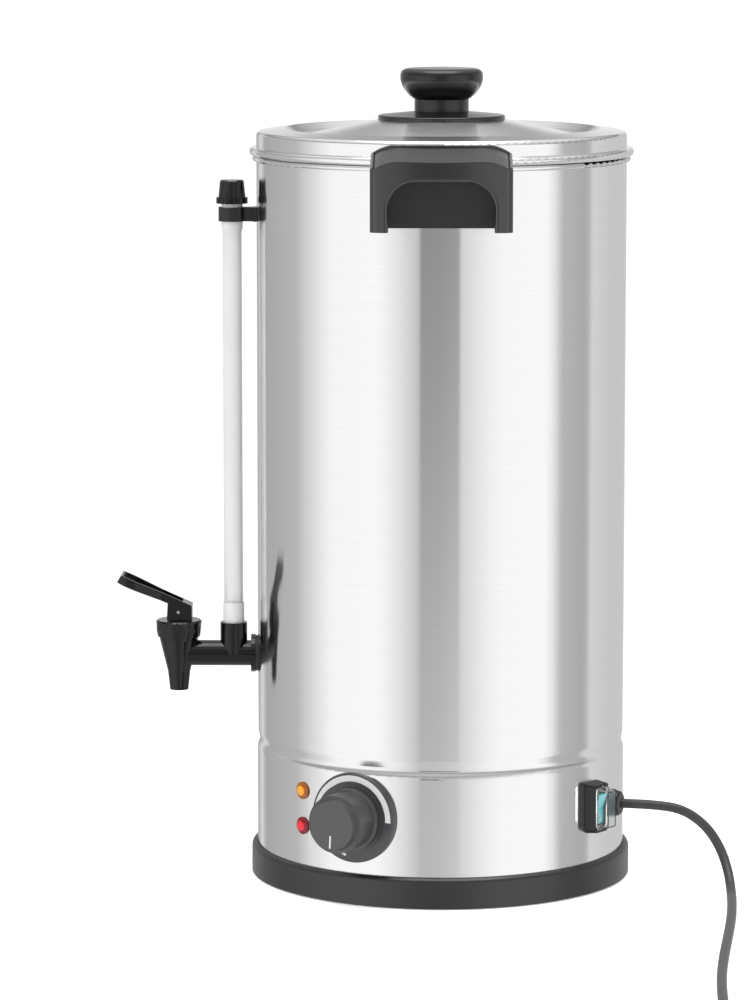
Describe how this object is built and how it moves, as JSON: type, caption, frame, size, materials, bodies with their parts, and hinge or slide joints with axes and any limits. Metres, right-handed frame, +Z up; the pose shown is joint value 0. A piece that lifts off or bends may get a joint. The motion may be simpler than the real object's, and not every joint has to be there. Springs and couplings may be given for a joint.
{
  "type": "hot water urn",
  "caption": "Steel hot water urn with lift-off lid, side handles, lever tap, sight gauge, thermostat dial, pilot lamps, rocker switch and mains lead.",
  "frame": {"origin": "middle of the rubber foot ring's flat underside, on the shell's axis", "axes": "+Z up along the shell's axis, -X towards the tap, -Y towards the front handle and the controls' side"},
  "size_m": [0.4289, 0.7516, 0.563],
  "materials": {
    "brushed_steel": "brushed stainless steel, fine grain round the shell",
    "plain_steel": "plain stainless sheet",
    "steel_fasteners": "bright plated steel",
    "spring_steel": "spring wire",
    "copper": "bare copper capillary",
    "base_black": "satin dark grey plastic",
    "handle_black": "satin black heat-proof plastic",
    "bracket_black": "satin black plastic band",
    "tap_black": "gloss black plastic",
    "dial_black": "matt dark grey plastic",
    "bezel_black": "satin black plastic with a white band",
    "switch_black": "black plastic",
    "rocker_green": "translucent green plastic",
    "clear_cover": "clear flexible splash cover",
    "gauge_clear": "clear glass tube",
    "clear_silicone": "clear silicone sleeve",
    "white_silicone": "white silicone",
    "black_rubber": "black rubber",
    "amber_lens": "translucent amber lens",
    "red_lens": "translucent red lens",
    "control_housing": "moulded control housing",
    "terminal_white": "white terminal block",
    "heater_aluminium": "cast aluminium",
    "earth_brass": "brass",
    "pin_nickel": "nickel-plated brass",
    "cord_black": "satin black rubber sheath"
  },
  "bodies": {
    "urn": {"outer_shell": "brushed_steel", "tank_floor": "plain_steel", "bottom_plate": "plain_steel", "bulb_clip": "plain_steel", "thermostat_bulb": "plain_steel", "heater_element": "plain_steel", "boil_dry_cutout": "plain_steel", "base_screws": "steel_fasteners", "handle_screws": "steel_fasteners", "heater_studs": "steel_fasteners", "heater_nuts": "steel_fasteners", "thermostat_screws": "steel_fasteners", "bracket_screw": "steel_fasteners", "lamp_clips": "steel_fasteners", "tap_spring": "spring_steel", "capillary_tube": "copper", "base_ring": "base_black", "handle_front": "handle_black", "handle_rear": "handle_black", "gauge_bracket": "bracket_black", "tap_body": "tap_black", "tap_bonnet": "tap_black", "tap_locknut": "tap_black", "thermostat_bezel": "bezel_black", "switch_frame": "switch_black", "gland_body": "switch_black", "gland_nut": "switch_black", "gland_locknut": "switch_black", "switch_cover": "clear_cover", "gauge_tube": "gauge_clear", "gauge_lower_sleeve": "clear_silicone", "gauge_upper_sleeve": "clear_silicone", "tank_gasket": "white_silicone", "handle_washers": "white_silicone", "foot_ring": "black_rubber", "tap_gasket": "black_rubber", "heating_lamp": "amber_lens", "power_lamp": "red_lens", "thermostat_body": "control_housing", "terminal_block": "terminal_white", "heater_plate": "heater_aluminium", "earth_stud": "earth_brass", "plug_pins": "pin_nickel", "power_cord": "cord_black", "cord_coil": "cord_black", "plug_body": "cord_black"},
    "lid": {"lid_pan": "brushed_steel", "lid_knob_plate": "handle_black", "lid_knob": "handle_black", "knob_crown": "handle_black", "lid_screw": "steel_fasteners"},
    "stem": {"tap_stem": "tap_black", "tap_seat": "white_silicone", "lever_pin": "steel_fasteners"},
    "lever": {"tap_lever": "tap_black"},
    "dial": {"thermostat_knob": "dial_black", "thermostat_spindle": "steel_fasteners"},
    "rocker": {"switch_rocker": "rocker_green"},
    "gauge_plug": {"gauge_cap": "tap_black"}
  },
  "joints": [
    {"name": "lid_lift", "type": "slide", "parent": "urn", "child": "lid", "axis": [0, 0, 1], "range_m": [0, 0.15]},
    {"name": "tap_stem_lift", "type": "slide", "parent": "urn", "child": "stem", "axis": [0, 0, 1], "range_m": [0, 0.0022], "deforming": ["tap_spring"]},
    {"name": "tap_lever_press", "type": "hinge", "parent": "stem", "child": "lever", "pos_m": [-0.1835, 0, 0.1837], "axis": [0, -1, 0], "range_deg": [0, 25], "stiffness_Nm_per_rad": 0.05, "springref_deg": -28.65},
    {"name": "dial_turn", "type": "hinge", "parent": "urn", "child": "dial", "pos_m": [-0.06052, -0.11877, 0.0605], "axis": [0.454, 0.891, 0], "range_deg": [0, 270]},
    {"name": "rocker_tilt", "type": "hinge", "parent": "urn", "child": "rocker", "pos_m": [0.10663, -0.07662, 0.0602], "axis": [-0.5835, -0.8121, 0], "range_deg": [0, 16]},
    {"name": "gauge_cap_pull", "type": "slide", "parent": "urn", "child": "gauge_plug", "axis": [0, 0, 1], "range_m": [0, 0.02]}
  ],
  "couplings": [
    {"joint": "tap_stem_lift", "follows": "tap_lever_press", "m_per_rad": 0.005}
  ]
}
